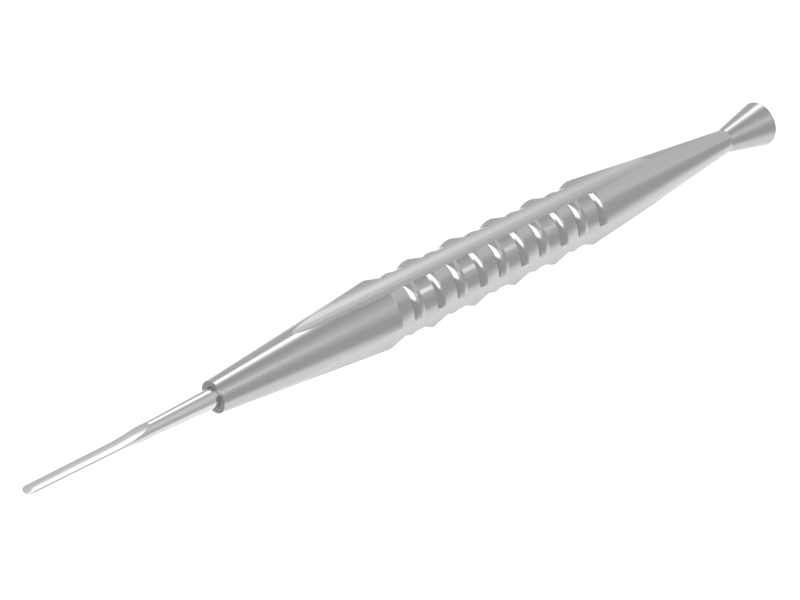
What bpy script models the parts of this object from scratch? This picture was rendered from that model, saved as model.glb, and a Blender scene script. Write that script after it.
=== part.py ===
"""A periotome: a slim double-edged blade in a turned steel handle with a ringed, three-lobed grip.

Lengths are in metres. Each piece is drawn with the instrument's axis along its own X, the handle's front
face at x = 0, the blade towards -X and the tapping end towards +X. The instrument lies on one flute of its
grip, with the world's origin under the middle of its length.
"""

import math

import bmesh
import bpy
from mathutils import Matrix, Vector

MM = 0.001

# Handle, turned: a front cone, the ringed grip, a rear cone down to a waist, and a flare
FRONT_WALL = 0.65 * MM
FRONT_CONE_LENGTH = 31.3 * MM
REAR_CONE_LENGTH = 35.2 * MM
WAIST_RADIUS = 2.0 * MM
FLARE_LENGTH = 9.2 * MM
FLARE_RADIUS = 3.88 * MM
EDGE_BREAK = 0.1 * MM

# Grip: between large rings lie a small ring and a plain land
GRIP_RADIUS = 4.84 * MM
RING_COUNT = 5
RING_PITCH = 8.86 * MM
LARGE_RING_RISE = 0.66 * MM
LARGE_RING_ROUNDING = 0.66 * MM
LARGE_RING_WALL = math.radians(84)
SMALL_RING_OFFSET = 4.87 * MM
SMALL_RING_RISE = 0.17 * MM
SMALL_RING_ROUNDING = 1.05 * MM
SMALL_RING_WALL = math.radians(52)
BACK_SLOPE = math.radians(15)

# Three flutes milled along the grip, hollow in section
FLUTE_COUNT = 3
FLUTE_FLOOR = 3.93 * MM
FLUTE_HOLLOW_RADIUS = 5.17 * MM

# Bore that holds the blade's shank
SHANK_CLEARANCE = 0.25 * MM
BORE_CHAMFER = 0.1 * MM
BORE_DEPTH = 15.0 * MM

# Blade, turned and then ground on both sides
SHANK_RADIUS = 1.5 * MM
SHANK_COLLAR = 0.5 * MM
SHANK_TAPER = 8.5 * MM
NECK_LENGTH = 18.2 * MM
GRIND_RADIUS = 25.0 * MM
FLAT_LENGTH = 14.1 * MM
BLADE_HALF_WIDTH = 1.12 * MM
BLADE_THICKNESS = 0.45 * MM
BLADE_CROWN = 0.06 * MM
TIP_BEVEL = 1.05 * MM
TIP_THICKNESS = 0.1 * MM

HANDLE_SIDES = 90
FLUTE_SIDES = 96
BLADE_SIDES = 48
CUTTER_MARGIN = 1.0 * MM

HANDLE_COLOUR = (0.55, 0.55, 0.56, 1.0)
BLADE_COLOUR = (0.7, 0.7, 0.71, 1.0)


def clear_scene():
    for obj in list(bpy.data.objects):
        bpy.data.objects.remove(obj, do_unlink=True)


def steel(name, colour, roughness):
    material = bpy.data.materials.new(name)
    material.use_nodes = True
    shader = material.node_tree.nodes["Principled BSDF"]
    shader.inputs["Base Color"].default_value = colour
    shader.inputs["Metallic"].default_value = 1.0
    shader.inputs["Roughness"].default_value = roughness
    return material


def bore_radius():
    return SHANK_RADIUS + SHANK_CLEARANCE


def front_radius():
    return bore_radius() + BORE_CHAMFER + FRONT_WALL


def large_ring_radius():
    return GRIP_RADIUS + LARGE_RING_RISE


def large_ring_edge(number):
    """Where the back slope of a large ring starts."""
    return FRONT_CONE_LENGTH + number * RING_PITCH


def waist_position():
    return large_ring_edge(RING_COUNT) + REAR_CONE_LENGTH


def handle_length():
    return waist_position() + FLARE_LENGTH


def blade_reach():
    """How far the blade's tip stands out of the handle."""
    return NECK_LENGTH + FLAT_LENGTH


def arc(centre, radius, first_slope, last_slope, steps):
    """Points of a convex rounding, from where the outline climbs at first_slope to last_slope."""
    points = []
    for step in range(steps + 1):
        slope = first_slope + (last_slope - first_slope) * step / steps
        points.append(centre + radius * Vector((-math.sin(slope), math.cos(slope))))
    return points


def crossing(point, slope, other, other_slope):
    """Where two straight lines of the outline meet."""
    climb = math.tan(slope)
    other_climb = math.tan(other_slope)
    x = (other.y - point.y + climb * point.x - other_climb * other.x) / (climb - other_climb)
    return Vector((x, point.y + climb * (x - point.x)))


def ring(edge, radius, rounding, wall, back_slope, ground, ground_slope, steps):
    """One ring's outline: a wall that climbs out of the ground before it, and a crest rounded over to the
    back slope, which starts at x = edge. A ring that is low for its rounding starts on the crest itself."""
    centre = Vector((edge - rounding * math.sin(back_slope), radius - rounding))
    depth = math.cos(ground_slope) * (ground.y - centre.y) - math.sin(ground_slope) * (ground.x - centre.x)
    meeting = math.acos(max(-1.0, min(1.0, depth / rounding))) + ground_slope
    start_slope = min(wall, meeting)
    crest = arc(centre, rounding, start_slope, -back_slope, steps)
    foot = crossing(crest[0], start_slope, ground, ground_slope)
    if (foot - crest[0]).length > EDGE_BREAK / 20:
        return [foot, *crest]
    return crest


def grip_outline(front_slope, rear_slope):
    """The rings, from the crest of the first large one to the crest of the last."""
    radius = large_ring_radius()
    edge = large_ring_edge(0)
    centre = Vector((edge - LARGE_RING_ROUNDING * math.sin(BACK_SLOPE), radius - LARGE_RING_ROUNDING))
    points = arc(centre, LARGE_RING_ROUNDING, front_slope, -BACK_SLOPE, 2)
    land = Vector((0, GRIP_RADIUS))
    for number in range(RING_COUNT):
        small_ring = ring(
            edge=large_ring_edge(number) + SMALL_RING_OFFSET,
            radius=GRIP_RADIUS + SMALL_RING_RISE,
            rounding=SMALL_RING_ROUNDING,
            wall=SMALL_RING_WALL,
            back_slope=BACK_SLOPE,
            ground=points[-1],
            ground_slope=-BACK_SLOPE,
            steps=5,
        )
        land_start = crossing(small_ring[-1], -BACK_SLOPE, land, 0)
        large_ring = ring(
            edge=large_ring_edge(number + 1),
            radius=radius,
            rounding=LARGE_RING_ROUNDING,
            wall=LARGE_RING_WALL,
            back_slope=rear_slope if number == RING_COUNT - 1 else BACK_SLOPE,
            ground=land,
            ground_slope=0,
            steps=6,
        )
        points += [*small_ring, land_start, *large_ring]
    return points


def handle_outline():
    """Half of the handle's section, from the bottom of its bore round to the middle of its tapping end."""
    front = front_radius()
    radius = large_ring_radius()
    front_slope = math.atan((radius - front) / FRONT_CONE_LENGTH)
    rear_slope = math.atan((radius - WAIST_RADIUS) / REAR_CONE_LENGTH)
    return [
        Vector((BORE_DEPTH, 0)),
        Vector((BORE_DEPTH, bore_radius())),
        Vector((BORE_CHAMFER, bore_radius())),
        Vector((0, bore_radius() + BORE_CHAMFER)),
        Vector((0, front - EDGE_BREAK)),
        Vector((EDGE_BREAK, front)),
        *grip_outline(front_slope, rear_slope),
        Vector((waist_position(), WAIST_RADIUS)),
        Vector((handle_length() - EDGE_BREAK, FLARE_RADIUS)),
        Vector((handle_length(), FLARE_RADIUS - EDGE_BREAK)),
        Vector((handle_length(), 0)),
    ]


def rod_outline():
    """Half of the blade's section before grinding, from its round tip back to the end of its shank."""
    tip_centre = -blade_reach() + BLADE_HALF_WIDTH
    seat_end = BORE_DEPTH - SHANK_CLEARANCE
    chamfer = SHANK_RADIUS / 6
    return [
        *arc(Vector((tip_centre, 0)), BLADE_HALF_WIDTH, math.pi / 2, 0, 8),
        Vector((-SHANK_COLLAR - SHANK_TAPER, BLADE_HALF_WIDTH)),
        Vector((-SHANK_COLLAR, SHANK_RADIUS)),
        Vector((seat_end - chamfer, SHANK_RADIUS)),
        Vector((seat_end, SHANK_RADIUS - chamfer)),
        Vector((seat_end, 0)),
    ]


def finished(name, mesh):
    data = bpy.data.meshes.new(name)
    mesh.to_mesh(data)
    mesh.free()
    data.shade_smooth()
    data.set_sharp_from_angle(angle=math.radians(30))
    obj = bpy.data.objects.new(name, data)
    bpy.context.scene.collection.objects.link(obj)
    return obj


def turned(name, outline, sides):
    """A solid of revolution about X from half of its section."""
    mesh = bmesh.new()
    section = [mesh.verts.new((point.x, 0, point.y)) for point in outline]
    edges = [mesh.edges.new(pair) for pair in zip(section, section[1:])]
    bmesh.ops.spin(
        mesh, geom=section + edges, cent=(0, 0, 0), axis=(1, 0, 0), angle=math.tau, steps=sides, use_merge=True
    )
    bmesh.ops.remove_doubles(mesh, verts=mesh.verts, dist=EDGE_BREAK / 1000)
    bmesh.ops.recalc_face_normals(mesh, faces=mesh.faces)
    return finished(name, mesh)


def as_cutter(obj):
    obj.hide_render = True
    obj.display_type = "WIRE"
    return obj


def flute_cutter(number):
    """A round bar whose near side hollows one flute. It runs out by itself where the cones grow thin."""
    length = waist_position() + CUTTER_MARGIN
    mesh = bmesh.new()
    bmesh.ops.create_cone(
        mesh,
        cap_ends=True,
        segments=FLUTE_SIDES,
        radius1=FLUTE_HOLLOW_RADIUS,
        radius2=FLUTE_HOLLOW_RADIUS,
        depth=length,
    )
    along_x = Matrix.Rotation(math.pi / 2, 4, "Y")
    below = Matrix.Translation((length / 2 - CUTTER_MARGIN, 0, -(FLUTE_FLOOR + FLUTE_HOLLOW_RADIUS)))
    turn = Matrix.Rotation(math.tau * number / FLUTE_COUNT, 4, "X")
    bmesh.ops.transform(mesh, matrix=turn @ below @ along_x, verts=mesh.verts)
    return as_cutter(finished(f"flute_cutter_{number + 1}", mesh))


def half_thickness(x):
    """How far the ground faces lie from the axis at x, on the blade's middle line."""
    half = BLADE_THICKNESS / 2
    along_bevel = (x + blade_reach()) / TIP_BEVEL
    if along_bevel < 1:
        return TIP_THICKNESS / 2 + (half - TIP_THICKNESS / 2) * max(0.0, along_bevel)
    lift = max(0.0, x + NECK_LENGTH)
    return half + GRIND_RADIUS - math.sqrt(GRIND_RADIUS**2 - lift**2)


def grind_stations():
    """Places along the blade where the ground faces change direction, up to where they leave the rod."""
    rise = SHANK_RADIUS + CUTTER_MARGIN - BLADE_THICKNESS / 2
    run = math.sqrt(GRIND_RADIUS**2 - (GRIND_RADIUS - rise) ** 2)
    steps = 14
    return [
        -blade_reach() - CUTTER_MARGIN,
        -blade_reach(),
        -blade_reach() + TIP_BEVEL,
        *(-NECK_LENGTH + run * step / steps for step in range(steps + 1)),
    ]


def ground_section(x):
    """The outline across the blade at x: two faces, faintly crowned over the blade's width."""
    side = max(SHANK_RADIUS, BLADE_HALF_WIDTH) + CUTTER_MARGIN
    middle = half_thickness(x)
    crown = BLADE_CROWN * min(1.0, 2 * middle / BLADE_THICKNESS)
    upper = [Vector((x, -side, middle - crown))]
    for column in range(-4, 5):
        share = column / 4
        upper.append(Vector((x, BLADE_HALF_WIDTH * share, middle - crown * share**2)))
    upper.append(Vector((x, side, middle - crown)))
    return upper + [Vector((x, point.y, -point.z)) for point in reversed(upper)]


def grind_envelope():
    """The space that grinding leaves: thin and flat at the tip, and clear of the round shank at the back."""
    stations = grind_stations()
    mesh = bmesh.new()
    sections = [[mesh.verts.new(point) for point in ground_section(x)] for x in stations]
    back = max(BORE_DEPTH, stations[-1]) + CUTTER_MARGIN
    sections.append([mesh.verts.new((back, vert.co.y, vert.co.z)) for vert in sections[-1]])
    for section, following in zip(sections, sections[1:]):
        for index in range(len(section)):
            after = (index + 1) % len(section)
            mesh.faces.new((section[index], section[after], following[after], following[index]))
    mesh.faces.new(sections[0])
    mesh.faces.new(sections[-1])
    bmesh.ops.recalc_face_normals(mesh, faces=mesh.faces)
    return as_cutter(finished("grind_envelope", mesh))


def cut(obj, cutter, operation):
    modifier = obj.modifiers.new(cutter.name, "BOOLEAN")
    modifier.operation = operation
    modifier.solver = "EXACT"
    modifier.object = cutter


def hang(obj, axis, turn=0.0):
    """Hang a piece on the instrument's axis, turned about it."""
    obj.parent = axis
    obj.rotation_euler.x = turn


def axis_height():
    """How high the axis lies when both edges of one flute rest on the ground at the large rings."""
    hollow_axis = FLUTE_FLOOR + FLUTE_HOLLOW_RADIUS
    return (large_ring_radius() ** 2 + hollow_axis**2 - FLUTE_HOLLOW_RADIUS**2) / (2 * hollow_axis)


def instrument_axis():
    """The empty that the pieces hang on, at the middle of the handle's front face."""
    axis = bpy.data.objects.new("instrument_axis", None)
    axis.location = ((blade_reach() - handle_length()) / 2, 0, axis_height())
    bpy.context.scene.collection.objects.link(axis)
    return axis


def build_handle(axis):
    handle = turned("handle", handle_outline(), HANDLE_SIDES)
    handle.data.materials.append(steel("satin_steel", HANDLE_COLOUR, 0.3))
    hang(handle, axis)
    for number in range(FLUTE_COUNT):
        flute = flute_cutter(number)
        hang(flute, axis)
        cut(handle, flute, "DIFFERENCE")


def build_blade(axis):
    """The blade, turned so that its flat face looks the same way as one of the upper flutes."""
    facing = math.tau / FLUTE_COUNT - math.pi
    blade = turned("blade", rod_outline(), BLADE_SIDES)
    blade.data.materials.append(steel("polished_steel", BLADE_COLOUR, 0.15))
    hang(blade, axis, facing)
    envelope = grind_envelope()
    hang(envelope, axis, facing)
    cut(blade, envelope, "INTERSECT")


def main():
    clear_scene()
    axis = instrument_axis()
    build_handle(axis)
    build_blade(axis)


main()
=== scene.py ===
"""A periotome, lying on a pale table inside a light tent."""

import math

import bmesh
import bpy
from mathutils import Euler, Matrix, Vector


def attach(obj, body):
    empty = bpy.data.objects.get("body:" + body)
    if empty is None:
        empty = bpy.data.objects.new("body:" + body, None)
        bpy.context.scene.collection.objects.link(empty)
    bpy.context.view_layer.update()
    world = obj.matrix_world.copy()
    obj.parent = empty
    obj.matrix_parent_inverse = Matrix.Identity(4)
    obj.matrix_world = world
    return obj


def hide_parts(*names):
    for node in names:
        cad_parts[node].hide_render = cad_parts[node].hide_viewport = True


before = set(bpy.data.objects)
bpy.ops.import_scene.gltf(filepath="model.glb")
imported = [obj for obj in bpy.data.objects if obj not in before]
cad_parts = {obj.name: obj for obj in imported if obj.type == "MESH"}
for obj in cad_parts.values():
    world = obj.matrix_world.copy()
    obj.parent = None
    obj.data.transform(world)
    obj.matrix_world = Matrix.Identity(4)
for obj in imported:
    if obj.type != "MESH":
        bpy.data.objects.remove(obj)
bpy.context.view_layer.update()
scene = bpy.context.scene
scene.view_settings.view_transform = "Standard"


# Camera. It looks down at the instrument from the blade's end, from about 35 cm away, so that the axis runs
# up the picture to the right and away from the viewer.

MM = 0.001

camera_data = bpy.data.cameras.new("camera")
camera_data.lens = 102.986
camera_data.sensor_width = 36.0
camera_data.clip_start = 0.01
camera_data.clip_end = 20.0
camera = bpy.data.objects.new("camera", camera_data)
camera.location = (-205.997 * MM, 42.712 * MM, 280.669 * MM)
camera.rotation_euler = Euler(map(math.radians, (8.53219, -35.43919, -26.52298)))
scene.collection.objects.link(camera)
scene.camera = camera


# Handle. One bar of stainless steel, turned on a lathe: a front cone, a grip with large and small rings, a
# rear cone down to a waist, and a flared end to tap on. Three hollow flutes are then ground along the grip,
# which leaves three ringed lobes between them, and the front face is bored for the blade.

FRONT_FACE_X = -43.85 * MM
AXIS_Z = 4.74347 * MM
FRONT_RADIUS = 2.5 * MM
BORE_RADIUS = 1.55 * MM
BORE_CHAMFER = 0.03 * MM
BORE_DEPTH = 15.0 * MM
FRONT_CONE_LENGTH = 31.6 * MM
REAR_CONE_LENGTH = 34.9 * MM
WAIST_RADIUS = 2.0 * MM
FLARE_LENGTH = 9.2 * MM
FLARE_RADIUS = 3.88 * MM
FRONT_EDGE_BREAK = 0.04 * MM
END_EDGE_BREAK = 0.1 * MM
LAND_RADIUS = 4.81 * MM
RING_COUNT = 5
RING_PITCH = 8.86 * MM
LARGE_RING_RADIUS = 5.5 * MM
LARGE_RING_ROUNDING = 0.8 * MM
LARGE_RING_WALL = math.radians(58)
SMALL_RING_OFFSET = 4.57 * MM
SMALL_RING_RADIUS = 5.01 * MM
SMALL_RING_ROUNDING = 1.3 * MM
SMALL_RING_WALL = math.radians(42)
BACK_SLOPE = math.radians(15)
FLUTE_COUNT = 3
FLUTE_FLOOR = 3.93 * MM
FLUTE_HOLLOW_RADIUS = 5.17 * MM
HANDLE_SIDES = 240
FLUTE_SIDES = 240
FIRST_CREST_STEPS = 6
SMALL_CREST_STEPS = 16
LARGE_CREST_STEPS = 20
EDGE_BREAK_STEPS = 4
WELD_DISTANCE = 1e-7
SHORTEST_EDGE = 0.0005 * MM
HANDLE_SHARP_ANGLE = math.radians(10)
FLUTE_SURFACE_DEPTH = 0.004 * MM
FLUTES_START = 5.0 * MM
FRONT_FACE_LEAN = -0.6


def rounding(centre, radius, first_slope, last_slope, steps):
    """Points of a convex rounding, from where the outline climbs at first_slope to last_slope."""
    slopes = [first_slope + (last_slope - first_slope) * step / steps for step in range(steps + 1)]
    return [centre + radius * Vector((-math.sin(slope), math.cos(slope))) for slope in slopes]


def corner(point, slope, other, other_slope):
    """Where two straight lines of the outline meet."""
    climb = math.tan(slope)
    other_climb = math.tan(other_slope)
    x = (other.y - point.y + climb * point.x - other_climb * other.x) / (climb - other_climb)
    return Vector((x, point.y + climb * (x - point.x)))


def crest(edge, radius, rounding_radius, first_slope, back_slope, steps):
    """The rounded top of one ring, whose back slope starts at x = edge."""
    centre = Vector((edge - rounding_radius * math.sin(back_slope), radius - rounding_radius))
    return rounding(centre, rounding_radius, first_slope, -back_slope, steps)


def ring_edge(number):
    return FRONT_CONE_LENGTH + number * RING_PITCH


waist_x = ring_edge(RING_COUNT) + REAR_CONE_LENGTH
handle_length = waist_x + FLARE_LENGTH
front_slope = math.atan((LARGE_RING_RADIUS - FRONT_RADIUS) / FRONT_CONE_LENGTH)
rear_slope = math.atan((LARGE_RING_RADIUS - WAIST_RADIUS) / REAR_CONE_LENGTH)
flare_slope = math.atan((FLARE_RADIUS - WAIST_RADIUS) / FLARE_LENGTH)
land = Vector((0, LAND_RADIUS))

grip_outline = crest(
    ring_edge(0), LARGE_RING_RADIUS, LARGE_RING_ROUNDING, front_slope, BACK_SLOPE, FIRST_CREST_STEPS
)
for number in range(RING_COUNT):
    small_edge = ring_edge(number) + SMALL_RING_OFFSET
    small_crest = crest(
        small_edge,
        SMALL_RING_RADIUS,
        SMALL_RING_ROUNDING,
        SMALL_RING_WALL,
        BACK_SLOPE,
        SMALL_CREST_STEPS,
    )
    large_back = rear_slope if number == RING_COUNT - 1 else BACK_SLOPE
    large_crest = crest(
        ring_edge(number + 1),
        LARGE_RING_RADIUS,
        LARGE_RING_ROUNDING,
        LARGE_RING_WALL,
        large_back,
        LARGE_CREST_STEPS,
    )
    grip_outline += [
        corner(grip_outline[-1], -BACK_SLOPE, small_crest[0], SMALL_RING_WALL),
        *small_crest,
        corner(small_crest[-1], -BACK_SLOPE, land, 0),
        corner(large_crest[0], LARGE_RING_WALL, land, 0),
        *large_crest,
    ]

handle_outline = [
    Vector((BORE_DEPTH, 0)),
    Vector((BORE_DEPTH, BORE_RADIUS)),
    Vector((BORE_CHAMFER, BORE_RADIUS)),
    Vector((0, BORE_RADIUS + BORE_CHAMFER)),
    *rounding(
        Vector((FRONT_EDGE_BREAK, FRONT_RADIUS - FRONT_EDGE_BREAK)),
        FRONT_EDGE_BREAK,
        math.pi / 2,
        front_slope,
        EDGE_BREAK_STEPS,
    ),
    *grip_outline,
    Vector((waist_x, WAIST_RADIUS)),
    *rounding(
        Vector((handle_length - END_EDGE_BREAK, FLARE_RADIUS - END_EDGE_BREAK)),
        END_EDGE_BREAK,
        flare_slope,
        -math.pi / 2,
        EDGE_BREAK_STEPS,
    ),
    Vector((handle_length, 0)),
]


def placed(name, mesh):
    """A new object that holds a finished mesh."""
    data = bpy.data.meshes.new(name)
    mesh.to_mesh(data)
    mesh.free()
    piece = bpy.data.objects.new(name, data)
    scene.collection.objects.link(piece)
    return piece


def turned(name, outline, sides):
    """A body of revolution about X from half of its section, as one closed mesh."""
    mesh = bmesh.new()
    section = [mesh.verts.new((point.x, 0, point.y)) for point in outline]
    edges = [mesh.edges.new(pair) for pair in zip(section, section[1:])]
    bmesh.ops.spin(
        mesh,
        geom=section + edges,
        cent=(0, 0, 0),
        axis=(1, 0, 0),
        angle=math.tau,
        steps=sides,
        use_merge=True,
    )
    bmesh.ops.remove_doubles(mesh, verts=mesh.verts, dist=WELD_DISTANCE)
    bmesh.ops.recalc_face_normals(mesh, faces=mesh.faces)
    return placed(name, mesh)


def keep_cut(piece, tool, operation):
    """Cut the piece with the tool, clear the result's shortest edges, and put the tool away."""
    modifier = piece.modifiers.new(tool.name, "BOOLEAN")
    modifier.operation = operation
    modifier.solver = "EXACT"
    modifier.object = tool
    bpy.context.view_layer.update()
    shaped = bpy.data.meshes.new_from_object(piece.evaluated_get(bpy.context.evaluated_depsgraph_get()))
    clean = bmesh.new()
    clean.from_mesh(shaped)
    bmesh.ops.dissolve_degenerate(clean, dist=SHORTEST_EDGE, edges=clean.edges)
    clean.to_mesh(shaped)
    clean.free()
    piece.modifiers.clear()
    piece.data = shaped
    bpy.data.objects.remove(tool, do_unlink=True)


handle = turned("turned_handle", handle_outline, HANDLE_SIDES)
for number in range(FLUTE_COUNT):
    grinding = bmesh.new()
    bmesh.ops.create_cone(
        grinding,
        cap_ends=True,
        segments=FLUTE_SIDES,
        radius1=FLUTE_HOLLOW_RADIUS,
        radius2=FLUTE_HOLLOW_RADIUS,
        depth=waist_x,
        matrix=Matrix.Rotation(math.tau * number / FLUTE_COUNT, 4, "X")
        @ Matrix.Translation((waist_x / 2, 0, -(FLUTE_FLOOR + FLUTE_HOLLOW_RADIUS)))
        @ Matrix.Rotation(math.pi / 2, 4, "Y"),
    )
    keep_cut(handle, placed("flute_wheel", grinding), "DIFFERENCE")

handle.data.transform(Matrix.Translation((FRONT_FACE_X, 0, AXIS_Z)))
handle.data.shade_smooth()
handle.data.set_sharp_from_angle(angle=HANDLE_SHARP_ANGLE)


def machined_marks():
    """Fine parallel tool marks, and the patchy polish that wiping and handling leave over them."""
    group = bpy.data.node_groups.new("machined_marks", "ShaderNodeTree")
    group.interface.new_socket("Position", in_out="INPUT", socket_type="NodeSocketVector")
    group.interface.new_socket("Fineness", in_out="INPUT", socket_type="NodeSocketFloat")
    group.interface.new_socket("Marks", in_out="OUTPUT", socket_type="NodeSocketFloat")
    group.interface.new_socket("Polish", in_out="OUTPUT", socket_type="NodeSocketFloat")
    nodes = group.nodes
    entry = nodes.new("NodeGroupInput")
    leave = nodes.new("NodeGroupOutput")
    lines = nodes.new("ShaderNodeTexNoise")
    lines.inputs["Detail"].default_value = 3.0
    lines.inputs["Roughness"].default_value = 0.6
    patches = nodes.new("ShaderNodeTexNoise")
    patches.inputs["Scale"].default_value = 260.0
    patches.inputs["Detail"].default_value = 4.0
    group.links.new(entry.outputs["Position"], lines.inputs["Vector"])
    group.links.new(entry.outputs["Fineness"], lines.inputs["Scale"])
    group.links.new(entry.outputs["Position"], patches.inputs["Vector"])
    group.links.new(lines.outputs["Fac"], leave.inputs["Marks"])
    group.links.new(patches.outputs["Fac"], leave.inputs["Polish"])
    return group


marks_group = machined_marks()


def steel(name, tone, roughness, spread, stretch, fineness, depth):
    """Bare grey steel. Its marks run where stretch is small, and its roughness varies by spread."""
    material = bpy.data.materials.new(name)
    material.use_nodes = True
    nodes = material.node_tree.nodes
    links = material.node_tree.links
    shader = nodes["Principled BSDF"]
    shader.inputs["Metallic"].default_value = 1.0
    shader.inputs["Base Color"].default_value = (tone, tone, tone, 1.0)
    place = nodes.new("ShaderNodeTexCoord")
    mapping = nodes.new("ShaderNodeMapping")
    mapping.inputs["Location"].default_value = (0, 0, -AXIS_Z * stretch[2])
    mapping.inputs["Scale"].default_value = stretch
    marks = nodes.new("ShaderNodeGroup")
    marks.node_tree = marks_group
    marks.inputs["Fineness"].default_value = fineness
    vary = nodes.new("ShaderNodeMapRange")
    vary.inputs["From Min"].default_value = 0.3
    vary.inputs["From Max"].default_value = 0.7
    vary.inputs["To Min"].default_value = roughness - spread
    vary.inputs["To Max"].default_value = roughness + spread
    bump = nodes.new("ShaderNodeBump")
    bump.inputs["Strength"].default_value = 1.0
    bump.inputs["Distance"].default_value = depth
    links.new(place.outputs["Object"], mapping.inputs["Vector"])
    links.new(mapping.outputs["Vector"], marks.inputs["Position"])
    links.new(marks.outputs["Polish"], vary.inputs["Value"])
    links.new(vary.outputs["Result"], shader.inputs["Roughness"])
    links.new(marks.outputs["Marks"], bump.inputs["Height"])
    links.new(bump.outputs["Normal"], shader.inputs["Normal"])
    return material


ROUND_THE_AXIS = (1.0, 0.0, 0.0)
ALONG_THE_AXIS = (0.03, 1.0, 1.0)
TURNING_FINENESS = 9000.0
MARK_DEPTH = 0.0002 * MM

turned_steel = steel(
    "turned_steel", 0.53, 0.14, 0.02, ROUND_THE_AXIS, TURNING_FINENESS, MARK_DEPTH
)
ground_flute_steel = steel(
    "ground_flute_steel", 0.545, 0.33, 0.03, ALONG_THE_AXIS, 5000.0, MARK_DEPTH
)
satin_steel = steel(
    "satin_turned_steel", 0.51, 0.24, 0.03, ROUND_THE_AXIS, TURNING_FINENESS, MARK_DEPTH
)
# Faced steel for the bored front face: rougher than the turned steel, and darker in tone as painted shade
# for the dim look the face takes under this light.
faced_steel_with_painted_shade = steel(
    "faced_steel_with_painted_shade", 0.44, 0.42, 0.04, ROUND_THE_AXIS, TURNING_FINENESS, MARK_DEPTH
)
handle_steels = [turned_steel, ground_flute_steel, satin_steel, faced_steel_with_painted_shade]
handle.data.materials.clear()
for material in handle_steels:
    handle.data.materials.append(material)
for face in handle.data.polygons:
    middle = face.center - Vector((FRONT_FACE_X, 0, AXIS_Z))
    if middle.x > waist_x:
        face.material_index = handle_steels.index(satin_steel)
    # The front face takes the faced steel, whose darker tone is painted shade.
    if face.normal.x < FRONT_FACE_LEAN and middle.x < FRONT_EDGE_BREAK:
        face.material_index = handle_steels.index(faced_steel_with_painted_shade)
    for number in range(FLUTE_COUNT):
        turn = math.tau * number / FLUTE_COUNT
        hollow_axis = (FLUTE_FLOOR + FLUTE_HOLLOW_RADIUS) * Vector((math.sin(turn), -math.cos(turn)))
        reach = (Vector((middle.y, middle.z)) - hollow_axis).length
        if abs(reach - FLUTE_HOLLOW_RADIUS) < FLUTE_SURFACE_DEPTH and middle.x > FLUTES_START:
            face.material_index = handle_steels.index(ground_flute_steel)
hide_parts("handle")
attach(handle, "root")


# Blade. A rod of hard steel whose round shank sits in the handle's bore and tapers to the width of the
# blade. The working end is ground from both sides to a thin, faintly crowned blade with bevelled edges and
# a round tip.

SHANK_RADIUS = 1.5 * MM
SHANK_CLEARANCE = 0.25 * MM
SHANK_COLLAR = 0.5 * MM
SHANK_TAPER = 10.5 * MM
NECK_LENGTH = 18.2 * MM
GRIND_RADIUS = 25.0 * MM
FLAT_LENGTH = 14.1 * MM
TIP_HALF_WIDTH = 1.05 * MM
NECK_HALF_WIDTH = 1.15 * MM
BLADE_TURN = math.radians(4)
BLADE_THICKNESS = 0.45 * MM
BLADE_CROWN = 0.06 * MM
EDGE_ANGLE = math.radians(40)
EDGE_THICKNESS = 0.04 * MM
TIP_BEVEL = 1.5 * MM
TIP_THICKNESS = 0.06 * MM
BLADE_SIDES = 144
FACE_COLUMNS = 24
TIP_ROUNDING_STEPS = 24
TIP_STATIONS = 12
GRIND_STATIONS = 48
GRIND_MARGIN = 1.0 * MM
GRIND_END = 16.0 * MM
UNGROUND_LENGTH = 1.0 * MM
BLADE_SHARP_ANGLE = math.radians(14)
ROD_SHARE = 0.998
FACE_ON = 0.9

blade_reach = NECK_LENGTH + FLAT_LENGTH
tip_centre_x = TIP_HALF_WIDTH - blade_reach
seat_end = BORE_DEPTH - SHANK_CLEARANCE
shank_chamfer = SHANK_RADIUS / 6

rod_outline = [
    *rounding(Vector((tip_centre_x, 0)), TIP_HALF_WIDTH, math.pi / 2, 0, TIP_ROUNDING_STEPS),
    Vector((-NECK_LENGTH, NECK_HALF_WIDTH)),
    Vector((-SHANK_COLLAR - SHANK_TAPER, NECK_HALF_WIDTH)),
    Vector((-SHANK_COLLAR, SHANK_RADIUS)),
    Vector((seat_end - shank_chamfer, SHANK_RADIUS)),
    Vector((seat_end, SHANK_RADIUS - shank_chamfer)),
    Vector((seat_end, 0)),
]


def half_thickness(x):
    """How far the ground faces lie from the axis at x, on the blade's middle line."""
    half = BLADE_THICKNESS / 2
    along_bevel = (x + blade_reach) / TIP_BEVEL
    if along_bevel < 1:
        return TIP_THICKNESS / 2 + (half - TIP_THICKNESS / 2) * max(0.0, along_bevel)
    lift = max(0.0, x + NECK_LENGTH)
    return half + GRIND_RADIUS - math.sqrt(GRIND_RADIUS**2 - lift**2)


side = SHANK_RADIUS + GRIND_MARGIN
grind_rise = side - BLADE_THICKNESS / 2
grind_run = math.sqrt(GRIND_RADIUS**2 - (GRIND_RADIUS - grind_rise) ** 2)
stations = [-blade_reach - GRIND_MARGIN]
for step in range(TIP_STATIONS + 1):
    stations.append(-blade_reach + TIP_HALF_WIDTH * (1 - math.cos(math.pi / 2 * step / TIP_STATIONS)))
stations.append(-blade_reach + TIP_BEVEL)
for step in range(GRIND_STATIONS + 1):
    stations.append(-NECK_LENGTH + grind_run * step / GRIND_STATIONS)

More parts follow.
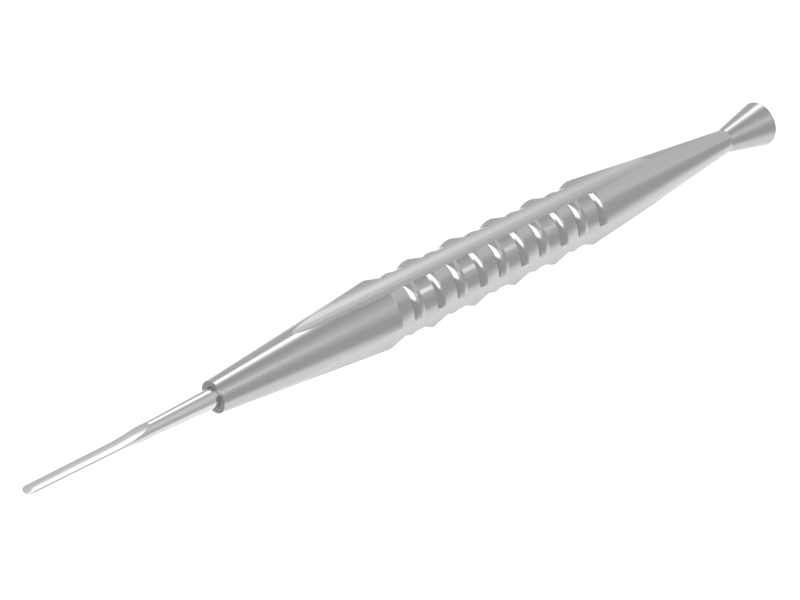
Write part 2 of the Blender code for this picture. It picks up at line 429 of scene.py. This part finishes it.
envelope = bmesh.new()
sections = []
for x in stations:
    middle = half_thickness(x)
    lift = max(0.0, middle - BLADE_THICKNESS / 2)
    crown = BLADE_CROWN * min(1.0, 2 * middle / BLADE_THICKNESS)
    along_flat = min(1.0, max(0.0, (x + blade_reach) / FLAT_LENGTH))
    edge = TIP_HALF_WIDTH + (NECK_HALF_WIDTH - TIP_HALF_WIDTH) * along_flat
    beyond = max(0.0, tip_centre_x - x)
    outside = EDGE_THICKNESS / 2 + lift
    upper = [(x, -side, outside)]
    for column in range(-FACE_COLUMNS, FACE_COLUMNS + 1):
        y = edge * column / FACE_COLUMNS
        inside = max(0.0, edge - math.hypot(beyond, y))
        bevel = outside + inside * math.tan(EDGE_ANGLE)
        upper.append((x, y, min(middle - crown * (y / edge) ** 2, bevel)))
    upper.append((x, side, outside))
    lower = [(x, y, -z) for _, y, z in reversed(upper)]
    sections.append([envelope.verts.new(point) for point in upper + lower])
sections.append([envelope.verts.new((GRIND_END, vert.co.y, vert.co.z)) for vert in sections[-1]])
for section in sections:
    for start, end in zip(section, section[1:] + section[:1]):
        envelope.edges.new((start, end))
for section, following in zip(sections, sections[1:]):
    loop = [edge for edge in envelope.edges if edge.verts[0] in section and edge.verts[1] in section]
    loop += [edge for edge in envelope.edges if edge.verts[0] in following and edge.verts[1] in following]
    bmesh.ops.bridge_loops(envelope, edges=loop)
envelope.faces.new(sections[0])
envelope.faces.new(sections[-1])
bmesh.ops.recalc_face_normals(envelope, faces=envelope.faces)

blade = turned("ground_blade", rod_outline, BLADE_SIDES)
keep_cut(blade, placed("grind_envelope", envelope), "INTERSECT")
facing = math.tau / FLUTE_COUNT - math.pi + BLADE_TURN
blade.data.transform(Matrix.Translation((FRONT_FACE_X, 0, AXIS_Z)) @ Matrix.Rotation(facing, 4, "X"))
blade.data.shade_smooth()
blade.data.set_sharp_from_angle(angle=BLADE_SHARP_ANGLE)

shank_steel = steel("polished_shank_steel", 0.7, 0.1, 0.015, ROUND_THE_AXIS, TURNING_FINENESS, 0.0)
blade_steel = steel("ground_blade_steel", 0.69, 0.1, 0.015, ALONG_THE_AXIS, 6000.0, 0.0)
blade_steels = [shank_steel, blade_steel]
blade.data.materials.clear()
for material in blade_steels:
    blade.data.materials.append(material)
broad_side = Matrix.Rotation(facing, 3, "X") @ Vector((0, 0, 1))


def on_the_rod(point):
    """Whether a point still lies on the round surface that grinding left."""
    taper = min(1.0, max(0.0, (point.x + SHANK_COLLAR + SHANK_TAPER) / SHANK_TAPER))
    rod_radius = NECK_HALF_WIDTH + (SHANK_RADIUS - NECK_HALF_WIDTH) * taper
    return math.hypot(point.y, point.z) > rod_radius * ROD_SHARE


for face in blade.data.polygons:
    middle = face.center - Vector((FRONT_FACE_X, 0, AXIS_Z))
    across = abs(face.normal.dot(broad_side))
    if middle.x < -SHANK_COLLAR - UNGROUND_LENGTH and across > FACE_ON and not on_the_rod(middle):
        face.material_index = blade_steels.index(blade_steel)
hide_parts("blade")
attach(blade, "root")


# Table. A wide sheet of white acrylic, lit so evenly that only the soft shadow under the instrument shows
# on it. The steel mirrors the tent's cloth through it, and it isn't there when seen from below.

TABLE_SIZE = 3.0
TABLE_TONE = 0.8
TABLE_GLOW = 0.55

table_mesh = bmesh.new()
bmesh.ops.create_grid(table_mesh, x_segments=1, y_segments=1, size=TABLE_SIZE / 2)
table = placed("table", table_mesh)
acrylic = bpy.data.materials.new("white_acrylic")
acrylic.use_nodes = True
table_nodes = acrylic.node_tree.nodes
table_links = acrylic.node_tree.links
table_nodes.clear()
matt = table_nodes.new("ShaderNodeBsdfDiffuse")
matt.inputs["Color"].default_value = (TABLE_TONE, TABLE_TONE, TABLE_TONE, 1.0)
glow = table_nodes.new("ShaderNodeEmission")
glow.inputs["Strength"].default_value = TABLE_GLOW
lit = table_nodes.new("ShaderNodeAddShader")
unseen = table_nodes.new("ShaderNodeBsdfTransparent")
ray = table_nodes.new("ShaderNodeLightPath")
surface = table_nodes.new("ShaderNodeNewGeometry")
either = table_nodes.new("ShaderNodeMath")
either.operation = "MAXIMUM"
choose = table_nodes.new("ShaderNodeMixShader")
out = table_nodes.new("ShaderNodeOutputMaterial")
table_links.new(matt.outputs["BSDF"], lit.inputs[0])
table_links.new(glow.outputs["Emission"], lit.inputs[1])
table_links.new(ray.outputs["Is Glossy Ray"], either.inputs[0])
table_links.new(surface.outputs["Backfacing"], either.inputs[1])
table_links.new(either.outputs["Value"], choose.inputs["Fac"])
table_links.new(lit.outputs["Shader"], choose.inputs[1])
table_links.new(unseen.outputs["BSDF"], choose.inputs[2])
table_links.new(choose.outputs["Shader"], out.inputs["Surface"])
table.data.materials.append(acrylic)


# Light tent. Grey cloth all round, brighter low on one side, with panels of lighter and darker cloth that
# the steel mirrors. Places in the tent are given as seen from the instrument, in degrees: round its axis,
# from straight up (0) over +Y (90), and away from where the tapping end points (0 to 180).

CLOTH_LIGHT = 0.576

world = bpy.data.worlds.new("light_tent")
world.use_nodes = True
scene.world = world
tent_nodes = world.node_tree.nodes
tent_links = world.node_tree.links
tent_nodes.clear()
direction = tent_nodes.new("ShaderNodeTexCoord")


def towards(around, away):
    """The direction of a place in the tent."""
    turn, tilt = math.radians(around), math.radians(away)
    return Vector((math.cos(tilt), math.sin(tilt) * math.sin(turn), math.sin(tilt) * math.cos(turn)))


def combined(operation, first, second):
    node = tent_nodes.new("ShaderNodeMath")
    node.operation = operation
    tent_links.new(first, node.inputs[0])
    if isinstance(second, (int, float)):
        node.inputs[1].default_value = second
    else:
        tent_links.new(second, node.inputs[1])
    return node.outputs["Value"]


def side_of(edge, soft):
    """The side of a straight edge that its normal points to, blurred over soft degrees each way."""
    distance = tent_nodes.new("ShaderNodeVectorMath")
    distance.operation = "DOT_PRODUCT"
    distance.inputs[1].default_value = edge
    tent_links.new(direction.outputs["Generated"], distance.inputs[0])
    step = tent_nodes.new("ShaderNodeMapRange")
    step.interpolation_type = "SMOOTHSTEP"
    step.inputs["From Min"].default_value = -math.sin(math.radians(soft))
    step.inputs["From Max"].default_value = math.sin(math.radians(soft))
    tent_links.new(distance.outputs["Value"], step.inputs["Value"])
    return step.outputs["Result"]


def area(light, sides):
    """The light of cloth that fills what all the sides have in common."""
    mask = sides[0]
    for side in sides[1:]:
        mask = combined("MULTIPLY", mask, side)
    return combined("MULTIPLY", mask, light)


def panel(light, soft, corners):
    """A panel of cloth with straight edges between its corners."""
    points = [towards(*corner) for corner in corners]
    middle = sum(points, Vector())
    sides = []
    for start, end in zip(points, points[1:] + points[:1]):
        edge = start.cross(end).normalized()
        sides.append(side_of(edge if edge.dot(middle) > 0 else -edge, soft))
    return area(light, sides)


cloth_parts = [
    # A bright part low on the -Y side, towards the tapping end, and a faint shade on the blade's half.
    area(
        0.575,
        [side_of(towards(-149, 93), 15), side_of(towards(-115, 93), 8), side_of(towards(-111, 31), 12)],
    ),
    area(-0.06, [side_of(towards(-111, 148), 10)]),
    # A paler part low down, on the blade's half.
    panel(0.24, 6, [(145, 104), (145, 168), (178, 168), (176, 104)]),
    # A white panel at the +Y side, and its softer surround.
    panel(
        1.15,
        3,
        [(76, 96), (78, 57), (105, 57), (101.5, 64), (98.5, 69), (97.5, 73), (95, 77), (88, 84)],
    ),
    panel(0.46, 8, [(68, 98), (68, 50), (108, 50), (105, 62), (93, 85)]),
    # A pale band towards the tapping end, from overhead down the +Y side.
    panel(0.25, 8.5, [(15, 24), (0, 44), (20, 48), (50, 47), (76, 48), (134, 46), (140, 28)]),
    # Three panels overhead: a pale one, a small bright one, and a wide faint one round both.
    panel(0.33, 6, [(0, 67), (20, 67), (20, 84), (0, 84)]),
    panel(1.07, 2.5, [(2, 52.7), (20, 52.7), (16, 59), (6, 59)]),
    panel(0.15, 10, [(-14, 44), (40, 44), (34, 90), (-14, 90)]),
    # A white panel from overhead to straight beyond the blade's tip.
    panel(
        1.56,
        4,
        [(-4, 86), (22, 86), (44, 108), (74, 136), (90, 154), (90, 165), (-2, 126), (-5, 116)],
    ),
    # A faint one below the side panel.
    panel(0.11, 5, [(104, 56), (97, 80), (97, 150), (160, 150), (160, 50), (106, 50)]),
]
total = combined("ADD", cloth_parts[0], CLOTH_LIGHT)
for light in cloth_parts[1:]:
    total = combined("ADD", total, light)
cloth = tent_nodes.new("ShaderNodeBackground")
cloth.inputs["Color"].default_value = (1.0, 1.0, 1.0, 1.0)
tent_links.new(total, cloth.inputs["Strength"])
white = tent_nodes.new("ShaderNodeBackground")
white.inputs["Color"].default_value = (1.0, 1.0, 1.0, 1.0)
white.inputs["Strength"].default_value = 1.0
seen_by = tent_nodes.new("ShaderNodeLightPath")
pick = tent_nodes.new("ShaderNodeMixShader")
tent_out = tent_nodes.new("ShaderNodeOutputWorld")
tent_links.new(seen_by.outputs["Is Glossy Ray"], pick.inputs["Fac"])
tent_links.new(white.outputs["Background"], pick.inputs[1])
tent_links.new(cloth.outputs["Background"], pick.inputs[2])
tent_links.new(pick.outputs["Shader"], tent_out.inputs["Surface"])
